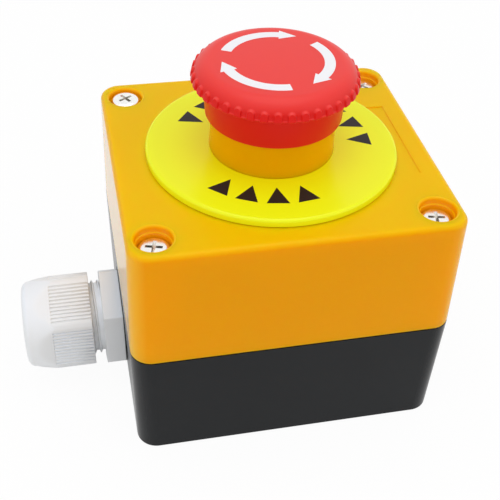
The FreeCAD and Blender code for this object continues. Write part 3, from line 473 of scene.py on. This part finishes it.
def piece(name, points, faces, body, material, slot, sharp=SHARP_ANGLE, inner=None, inner_faces=()):
    """Closed skin, in millimetres, that rides on a body. Some faces may take an inner material."""
    mesh = bpy.data.meshes.new(name)
    mesh.from_pydata([Vector(p) * MM for p in points], [], faces)
    for number in inner_faces:
        mesh.polygons[number].material_index = 1
    work = bmesh.new()
    work.from_mesh(mesh)
    bmesh.ops.remove_doubles(work, verts=work.verts, dist=MERGE_DISTANCE)
    bmesh.ops.recalc_face_normals(work, faces=work.faces)
    work.to_mesh(mesh)
    work.free()
    mesh.shade_smooth()
    mesh.set_sharp_from_angle(angle=math.radians(sharp))
    mesh.materials.append(material)
    if inner:
        mesh.materials.append(inner)
    made = bpy.data.objects.new(name, mesh)
    scene.collection.objects.link(made)
    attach(made, body)
    return made


def even(steps, start=0.0):
    """Angles in equal steps round the circle."""
    return [start + TURN * i / steps for i in range(steps)]


def lathe(rows, angles):
    """Skin of rows (radius, height) turned about Z. A radius may depend on the angle.
    Rows of radius 0 are points; without one at each end, the last row joins the first."""
    steps = len(angles)
    points, faces, rings = [], [], []
    for radius, height in rows:
        if radius == 0:
            rings.append([len(points)])
            points.append((0.0, 0.0, height))
            continue
        rings.append(list(range(len(points), len(points) + steps)))
        for angle in angles:
            r = radius(angle) if callable(radius) else radius
            points.append((r * math.cos(angle), r * math.sin(angle), height))
    pairs = list(zip(rings, rings[1:]))
    if len(rings[0]) > 1 and len(rings[-1]) > 1:
        pairs.append((rings[-1], rings[0]))
    for one, two in pairs:
        for i in range(steps):
            j = (i + 1) % steps
            if len(one) == 1:
                faces.append((one[0], two[j], two[i]))
            elif len(two) == 1:
                faces.append((one[i], one[j], two[0]))
            else:
                faces.append((one[i], one[j], two[j], two[i]))
    return points, faces


def arc_rows(radius, height, reach, drop, steps=6):
    """Rows of a quarter round that runs level out of a point and ends upright, by a reach and a drop."""
    angles = [QUARTER_TURN * i / steps for i in range(steps + 1)]
    return [(radius + reach * math.sin(a), height - drop * (1 - math.cos(a))) for a in angles]


def join(parts):
    """Several skins as one."""
    points, faces = [], []
    for some_points, some_faces in parts:
        offset = len(points)
        points.extend(some_points)
        faces.extend(tuple(i + offset for i in face) for face in some_faces)
    return points, faces


def moved(skin, x, y, z):
    return [(px + x, py + y, pz + z) for px, py, pz in skin[0]], skin[1]


def turned(skin, degrees):
    """A skin turned about Z."""
    angle = math.radians(degrees)
    cosine, sine = math.cos(angle), math.sin(angle)
    return [(x * cosine - y * sine, x * sine + y * cosine, z) for x, y, z in skin[0]], skin[1]


def in_gland(skin):
    """Brings a skin from the gland's own axis into the shared frame."""
    return [(GLAND_FOOT.x - z, GLAND_FOOT.y + y, GLAND_FOOT.z + x) for x, y, z in skin[0]], skin[1]


def slab(outline, top, thickness):
    """Flat piece between an outline's top, which may vary with the radius, and the same lower down."""
    count = len(outline)
    level = top if callable(top) else (lambda r: top)
    points = [(x, y, level(math.hypot(x, y))) for x, y in outline]
    points += [(x, y, z - thickness) for x, y, z in points]
    faces = [tuple(range(count)), tuple(range(2 * count - 1, count - 1, -1))]
    for i in range(count):
        j = (i + 1) % count
        faces.append((i, j, count + j, count + i))
    return points, faces


def polar(radius, degrees):
    angle = math.radians(degrees)
    return radius * math.cos(angle), radius * math.sin(angle)


# Head with its toothed rim

def crown_level(radius):
    return HEAD_TOP - CROWN_RISE * (radius / ROLL_END) ** 2


def toothed(base, level, inset=0.0):
    """Radius of the rim at a level as a function of the angle, drawn in by an inset.
    The teeth lean in a little, have round tops and run out into the smooth lower lip."""
    over = max(level - TOOTH_DOME, 0.0)
    tip = TOOTH_TIP - TOOTH_LEAN * max(level - TOOTH_LEAN_START, 0.0)
    pitch = TURN / TOOTH_COUNT
    first = math.radians(TOOTH_PHASE)
    lip_start = RIM_BOTTOM + RIM_EDGE
    lip = base + RIM_LIP * (1 - ramp(level, lip_start, lip_start + RIM_LIP_HEIGHT))

    def radius(angle):
        offset = (angle - first + pitch / 2) % pitch - pitch / 2
        away = math.hypot(TOOTH_TIP * math.sin(offset), over)
        drop = TOOTH_DROP * ramp(away, TOOTH_LAND, TOOTH_FOOT) + TOOTH_FALL * max(away - TOOTH_FOOT, 0.0)
        return smooth_max(lip, tip - drop, TOOTH_SOFT) - inset
    return radius


def shoulder_rows():
    """Crown and upper half of the rolled shoulder, above the teeth."""
    rows = [(0, HEAD_TOP)]
    for step in range(1, CROWN_STEPS + 1):
        radius = ROLL_END * step / CROWN_STEPS
        rows.append((radius, crown_level(radius)))
    for step in range(1, ROLL_STEPS + 1):
        angle = math.radians(90 - ROLL_STEP * step)
        rows.append((ROLL_END + ROLL_RADIUS * math.cos(angle), ROLL_START + ROLL_RADIUS * math.sin(angle)))
    return rows


def rim_rows(level):
    """Toothed rows from a level down to the rim's rounded lower edge."""
    rows = []
    while level > RIM_BOTTOM + RIM_EDGE + RIM_ROW_HEIGHT / 2:
        level -= RIM_ROW_HEIGHT
        rise = max(level - ROLL_START, 0.0)
        base = ROLL_END + math.sqrt(ROLL_RADIUS ** 2 - rise * rise)
        rows.append((toothed(base, level), level))
    for step in range(1, RIM_EDGE_STEPS + 1):
        angle = QUARTER_TURN * step / RIM_EDGE_STEPS
        inset = RIM_EDGE * (1 - math.cos(angle))
        rows.append((toothed(RIM_RADIUS, RIM_BOTTOM, inset), RIM_BOTTOM + RIM_EDGE * (1 - math.sin(angle))))
    return rows


def make_head():
    rows = shoulder_rows()
    rows += rim_rows(rows[-1][1])
    flare = SKIRT_OUTER + SKIRT_FLARE
    rows += [(flare + SKIRT_CHAMFER, RIM_BOTTOM), (flare, RIM_BOTTOM - SKIRT_CHAMFER),
             (SKIRT_OUTER + SKIRT_FLARE / 2, (RIM_BOTTOM + SKIRT_BOTTOM) / 2)]
    rows += reversed(arc_rows(SKIRT_OUTER - SKIRT_EDGE, SKIRT_BOTTOM, SKIRT_EDGE, -SKIRT_EDGE))
    rows += [(SKIRT_INNER, SKIRT_BOTTOM), (SKIRT_INNER, HEAD_CEILING), (BOSS_OUTER, HEAD_CEILING),
             (BOSS_OUTER, BOSS_BOTTOM), (BOSS_INNER, BOSS_BOTTOM), (BOSS_INNER, HEAD_CEILING),
             (0, HEAD_CEILING)]
    angles = even(TOOTH_COUNT * TOOTH_LINES, math.radians(TOOTH_PHASE))
    head = piece("head_shell", *lathe(rows, angles), "head", red, "head_plastic")
    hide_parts("mushroom_head")


def make_arrows():
    """Plain arrows printed on the crown in the sense that releases the head."""
    skins = []
    for number in range(ARROW_COUNT):
        tail = ARROW_START - 360 / ARROW_COUNT * number
        neck = tail - ARROW_SWEEP
        places = [tail - ARROW_SWEEP * i / ARROW_STEPS for i in range(ARROW_STEPS + 1)]
        outline = [polar(ARROW_OUTER, place) for place in places]
        outline += [polar(BARB_OUTER, neck), polar(ARROW_TIP, tail - ARROW_REACH), polar(BARB_INNER, neck)]
        outline += [polar(ARROW_INNER, place) for place in reversed(places)]
        outline = [(x + ARROW_SHIFT, y + ARROW_SHIFT) for x, y in outline]
        skins.append(slab(outline, lambda r: crown_level(r) + ARROW_LIFT, ARROW_THICKNESS))
    piece("crown_arrows", *join(skins), "head", white_ink, "head_plastic")


# Round plate

def make_plate():
    """Flat ring with a rounded rim. A row near the rim keeps the shading of the flat even."""
    flat_end = PLATE_RADIUS - PLATE_EDGE
    rows = [(PLATE_HOLE, BOX_TOP), (PLATE_HOLE, PLATE_TOP), (flat_end - PLATE_GUARD, PLATE_TOP)]
    rows += arc_rows(flat_end, PLATE_TOP, PLATE_EDGE, PLATE_EDGE)
    rows += [(PLATE_RADIUS, BOX_TOP + PLATE_CHAMFER), (PLATE_RADIUS - PLATE_CHAMFER, BOX_TOP)]
    plate = piece("plate_disc", *lathe(rows, even(PLATE_LINES)), "station", lemon, "legend_plastic")
    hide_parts("legend_plate")


def make_pointers():
    """Plain pointers printed round the plate, towards the button."""
    skins = []
    for count, first, step in POINTER_ROWS:
        for number in range(count):
            along = Vector(polar(1, first + step * number))
            across = Vector((-along.y, along.x)) * POINTER_HALF_WIDTH
            foot = along * POINTER_FOOT
            corners = [tuple(corner) for corner in (along * POINTER_TIP, foot + across, foot - across)]
            skins.append(slab(corners, PLATE_TOP + POINTER_LIFT, POINTER_THICKNESS))
    piece("legend_pointers", *join(skins), "station", dark_ink, "legend_plastic")


# Cover screws and the linings of their recesses

def cross(half_width, reach, level):
    """Twelve corners of a cross."""
    quarter = [(reach, -half_width), (reach, half_width), (half_width, half_width)]
    corners = []
    for turn in range(4):
        for x, y in quarter:
            for _ in range(turn):
                x, y = -y, x
            corners.append((x, y, level))
    return corners


def screw_skin():
    """Cross-recessed pan head on a plain shank, seated at level 0, and the numbers of its recess faces."""
    crown = SCREW_HEAD_HEIGHT
    angles = even(SCREW_LINES)
    brim = [(SCREW_FLAT_RADIUS * math.cos(a), SCREW_FLAT_RADIUS * math.sin(a), crown) for a in angles]
    mouth = cross(CROSS_HALF_WIDTH, CROSS_REACH, crown)
    root = cross(ROOT_HALF_WIDTH, ROOT_REACH, crown - CROSS_DEPTH)
    faces = [tuple(f) for f in tessellate_polygon([[Vector(p) for p in brim], [Vector(p) for p in mouth]])]
    corners = len(mouth)
    first = len(brim)
    last = first + corners
    recess = range(len(faces), len(faces) + corners + 1)
    for i in range(corners):
        j = (i + 1) % corners
        faces.append((first + i, first + j, last + j, last + i))
    faces.append(tuple(range(last, last + corners)))
    rows = arc_rows(SCREW_FLAT_RADIUS, crown, SCREW_HEAD_RADIUS - SCREW_FLAT_RADIUS, SCREW_EDGE_HEIGHT)
    rows += [(SCREW_HEAD_RADIUS, 0.0), (SHANK_RADIUS, 0.0)]
    rows += [(SHANK_RADIUS, -SHANK_LENGTH), (0, -SHANK_LENGTH)]
    return join([(brim + mouth + root, faces), lathe(rows, angles)]), recess


def recess_rows():
    """Lining of a screw recess from the roof down: round brim, wall, ledge, lower wall and hidden back."""
    return [
        (LINING_EDGE, -LINING_EDGE_TOP),
        *arc_rows(RECESS_MOUTH, -LINING_SINK, -RECESS_BRIM, RECESS_BRIM),
        (RECESS_WALL, -LEDGE_TOP), (LEDGE_RADIUS, -LEDGE_FOOT), (RECESS_FOOT, -RECESS_DEPTH),
        (LINING_BACK, -RECESS_DEPTH), (LINING_BACK, -LINING_BACK_TOP), (LINING_EDGE, -LINING_EDGE_FOOT),
    ]


def make_screws():
    skins, linings, recesses = [], [], []
    for (x, y), lift, turn in zip(SCREW_PLACES, SCREW_LIFTS, CROSS_TURNS):
        skin, recess = screw_skin()
        recesses += [face + len(skins) * len(skin[1]) for face in recess]
        skins.append(moved(turned(skin, turn), x, y, SCREW_SEAT + lift))
        linings.append(moved(lathe(recess_rows(), even(RECESS_LINES)), x, y, BOX_TOP))
    # The faces of each cross recess take the darker zinc, which is painted shade.
    screws = piece("screw_set", *join(skins), "station", zinc, "screw_steel",
                   inner=painted_shade_zinc, inner_faces=recesses)
    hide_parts("cover_screws")
    # The recess linings take the more orange amber, which is painted bounce light.
    piece("recess_steps", *join(linings), "station", painted_bounce_amber, "cover_plastic")


# Cable gland

def round_flange():
    """Rounded edges for the CAD gland body, whose faces are joined first."""
    body = nodes["gland_body"]
    body.modifiers.new("joined_faces", "WELD").merge_threshold = WELD_DISTANCE
    rounded = body.modifiers.new("rounded_edges", "BEVEL")
    rounded.width = FLANGE_ROUNDING * MM
    rounded.segments = FLANGE_SEGMENTS
    rounded.limit_method = "ANGLE"
    rounded.angle_limit = math.radians(FLANGE_ANGLE)


def cap_radius(run, grooved):
    """Radius of the cap nut at a run from its inner end as a function of the angle.
    Over the ribs the dome opens out, so that it only trims the hexagon's end."""
    if run < NOSE_START:
        dome = DOME_RADIUS - (run - DOME_START) * DOME_SLOPE
    else:
        dome = NOSE_RADIUS + math.sqrt(max(NOSE_LENGTH ** 2 - (run - NOSE_START) ** 2, 0.0)) * NOSE_BULGE
    if run < RIB_END:
        dome += (RIB_END - run) * DOME_SPREAD
    depth = RIB_DEPTH * grooved

    def radius(angle):
        offset = (math.degrees(angle) - CAP_TURN) % SIDE_ANGLE - SIDE_ANGLE / 2
        along = CAP_FLATS / 2 * math.tan(math.radians(offset))
        flat = CAP_FLATS / 2 / math.cos(math.radians(offset))
        if abs(along) < RIB_COUNT / 2 * RIB_PITCH:
            aside = abs((along / RIB_PITCH + RIB_COUNT / 2) % 1 - 0.5) * RIB_PITCH
            flat -= depth * max(1 - aside / (RIB_GROOVE / 2), 0.0)
        return smooth_min(smooth_min(flat, CAP_CORNER, CORNER_SOFT), dome, DOME_SOFT)
    return radius


def cap_angles():
    """Angles of the lines along the cap nut: brims and root of each groove, and the round corners."""
    places = []
    for number in range(RIB_COUNT):
        middle = (number - (RIB_COUNT - 1) / 2) * RIB_PITCH
        places += [middle - RIB_GROOVE / 2, middle, middle + RIB_GROOVE / 2]
    corner = CAP_FLATS / 2 * math.tan(math.radians(SIDE_ANGLE / 2))
    outside = [corner * share for share in CAP_CORNER_SHARES]
    places += outside + [-p for p in outside] + [corner]
    offsets = sorted(math.atan(p / (CAP_FLATS / 2)) for p in places)
    middles = [math.radians(CAP_TURN + SIDE_ANGLE / 2 + SIDE_ANGLE * side) for side in range(SIDE_COUNT)]
    return [middle + offset for middle in middles for offset in offsets]


def make_cap():
    runs = [CAP_EDGE] + [RIB_END * share for share in RIB_ROW_SHARES] + [RIB_END + CAP_EDGE]
    runs += [RIB_END + (NOSE_START - RIB_END) * i / DOME_STEPS for i in range(1, DOME_STEPS + 1)]
    turns = [math.radians(NOSE_STEP * i) for i in range(1, NOSE_STEPS + 1)]
    runs += [NOSE_START + NOSE_LENGTH * math.sin(turn) for turn in turns]
    rows = [(lambda angle: cap_radius(0, 1)(angle) - CAP_CHAMFER, CAP_START)]
    rows += [(cap_radius(run, float(run <= RIB_END)), CAP_START + run) for run in runs]
    rows += [(FACE_RADIUS, CAP_END), (MOUTH_RADIUS + MOUTH_CHAMFER, CAP_END),
             (MOUTH_RADIUS, CAP_END - MOUTH_CHAMFER), (MOUTH_RADIUS, CAP_END - MOUTH_DEPTH),
             (MOUTH_RADIUS + CONE_WIDENING, CAP_END - CONE_DEPTH), (BORE_RADIUS, CAP_START + BORE_END),
             (BORE_RADIUS, CAP_START + BORE_START), (RELIEF_RADIUS, CAP_START + RELIEF_END),
             (RELIEF_RADIUS, CAP_START)]
    cap = piece("cap_nut", *in_gland(lathe(rows, cap_angles())), "station", polyamide, "gland_plastic",
                sharp=CAP_SHARP_ANGLE)
    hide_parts("gland_cap_nut")


def make_thread_ridge():
    """Coarse thread that shows on the neck between flange and cap nut and fades out at both ends."""
    flank = [(RIDGE_ROOT, RIDGE_ROOT_HALF), (NECK_RADIUS, RIDGE_FOOT_HALF), (RIDGE_TIP, RIDGE_TIP_HALF)]
    profile = [(r, -half) for r, half in flank] + flank[::-1]
    count = len(profile)
    points, faces = [], []
    for i in range(RIDGE_STEPS + 1):
        turn = math.radians(RIDGE_FIRST + RIDGE_SWEEP * i / RIDGE_STEPS)
        rise = RIDGE_LOW + RIDGE_PITCH * RIDGE_SWEEP / 360 * i / RIDGE_STEPS
        fade = min(ramp(i, 0, RIDGE_FADE), ramp(RIDGE_STEPS - i, 0, RIDGE_FADE))
        for r, z in profile:
            r = RIDGE_ROOT + (r - RIDGE_ROOT) * fade
            points.append((r * math.cos(turn), r * math.sin(turn), rise + z))
    for i in range(RIDGE_STEPS):
        for k in range(count):
            m = (k + 1) % count
            faces.append((i * count + k, i * count + m, (i + 1) * count + m, (i + 1) * count + k))
    end = RIDGE_STEPS * count
    faces += [tuple(range(count)), tuple(range(end + count - 1, end - 1, -1))]
    piece("neck_thread", *in_gland((points, faces)), "station", polyamide, "gland_plastic")


# Camera

def make_camera():
    """Camera at the photograph's angle."""
    ahead = math.cos(CAMERA_PITCH)
    forward = Vector((math.sin(CAMERA_YAW) * ahead, math.cos(CAMERA_YAW) * ahead, -math.sin(CAMERA_PITCH)))
    level_right = Vector((math.cos(CAMERA_YAW), -math.sin(CAMERA_YAW), 0))
    level_down = forward.cross(level_right)
    right = level_right * math.cos(CAMERA_ROLL) + level_down * math.sin(CAMERA_ROLL)
    down = level_down * math.cos(CAMERA_ROLL) - level_right * math.sin(CAMERA_ROLL)
    data = bpy.data.cameras.new("camera")
    data.sensor_width = SENSOR_WIDTH
    data.lens = SENSOR_WIDTH * FOCAL_PIXELS / IMAGE_PIXELS
    data.shift_y = CAMERA_SHIFT
    data.clip_start = CLIP_START
    data.clip_end = CLIP_END
    camera = bpy.data.objects.new("camera", data)
    scene.collection.objects.link(camera)
    turn = Matrix((right, -down, -forward)).transposed()
    camera.matrix_world = Matrix.Translation(CAMERA_PLACE) @ turn.to_4x4()
    scene.camera = camera


# Floor, backdrop and light

def shown_white(tree, lit, white):
    """White where the camera, a mirror or clear material sees it, and lit otherwise."""
    path = add_node(tree, "LightPath").outputs
    seen = calculated(tree, "MAXIMUM", path["Is Camera Ray"], path["Is Glossy Ray"])
    seen = calculated(tree, "MAXIMUM", seen, path["Is Transmission Ray"])
    return mixed_shader(tree, seen, lit, white)


def make_world():
    """Even light from all round. The camera sees white, and gloss a room that is darker low in front."""
    world = bpy.data.worlds.new("studio")
    scene.world = world
    world.use_nodes = True
    tree = world.node_tree
    lit = tree.nodes["Background"]
    lit.inputs["Strength"].default_value = SKY_STRENGTH
    white = add_node(tree, "Background")
    room = add_node(tree, "Background")
    for light in (lit, white, room):
        light.inputs["Color"].default_value = WHITE
    direction = separated(tree, add_node(tree, "TexCoord").outputs["Generated"])
    rise = calculated(tree, "MULTIPLY_ADD", direction["Z"], ROOM_TILT, direction["Y"])
    strength = mapped(tree, rise, ROOM_DARK_END, ROOM_FULL_START, to_min=ROOM_LEAST)
    tree.links.new(strength, room.inputs["Strength"])
    glossy = add_node(tree, "LightPath").outputs["Is Glossy Ray"]
    backdrop = mixed_shader(tree, glossy, white.outputs[0], room.outputs[0])
    shown = shown_white(tree, lit.outputs[0], backdrop)
    tree.links.new(shown, tree.nodes["World Output"].inputs["Surface"])


def paper_material():
    """Matte paper that glows white where it is seen, less so in gloss, and keeps a little shadow."""
    paper = bpy.data.materials.new("paper")
    paper.use_nodes = True
    tree = paper.node_tree
    matte = tree.nodes["Principled BSDF"]
    matte.inputs["Base Color"].default_value = PAPER_COLOUR
    matte.inputs["Roughness"].default_value = PAPER_ROUGHNESS
    glow = add_node(tree, "Emission")
    glossy = add_node(tree, "LightPath").outputs["Is Glossy Ray"]
    share = calculated(tree, "MULTIPLY_ADD", glossy, GLOSSY_GLOW_CHANGE, PAPER_GLOW)
    soft = mixed_shader(tree, share, matte.outputs[0], glow.outputs[0])
    shown = shown_white(tree, matte.outputs[0], soft)
    tree.links.new(shown, tree.nodes["Material Output"].inputs["Surface"])
    return paper


def make_floor():
    mesh = bpy.data.meshes.new("floor")
    corners = [(-1, -1), (1, -1), (1, 1), (-1, 1)]
    mesh.from_pydata([(x * FLOOR_HALF, y * FLOOR_HALF, 0) for x, y in corners], [], [(0, 1, 2, 3)])
    mesh.materials.append(paper_material())
    floor = bpy.data.objects.new("floor", mesh)
    floor.location.z = -FLOOR_DROP
    scene.collection.objects.link(floor)


def lamp(name, place, aim, size, power):
    """Round lamp that shines from a place to an aim, in metres and watts."""
    data = bpy.data.lights.new(name, "AREA")
    data.shape = "DISK"
    data.size = size
    data.energy = power
    light = bpy.data.objects.new(name, data)
    scene.collection.objects.link(light)
    light.location = place
    light.rotation_mode = "QUATERNION"
    light.rotation_quaternion = (Vector(aim) - Vector(place)).to_track_quat("-Z", "Y")


round_flange()
make_head()
make_arrows()
make_plate()
make_pointers()
make_screws()
make_cap()
make_thread_ridge()
make_camera()
make_world()
make_floor()
lamp("top", place=(0.0, 0.0, 0.9), aim=(0, 0, 0.05), size=0.8, power=2.7)
lamp("left", place=(-0.75, -0.45, 0.42), aim=(0, 0, 0.04), size=1.0, power=1.6)
lamp("right", place=(0.75, -0.45, 0.42), aim=(0, 0, 0.04), size=1.0, power=1.7)
lamp("front", place=(-0.1, -0.8, 0.7), aim=(0, 0, 0.05), size=0.8, power=0.5)
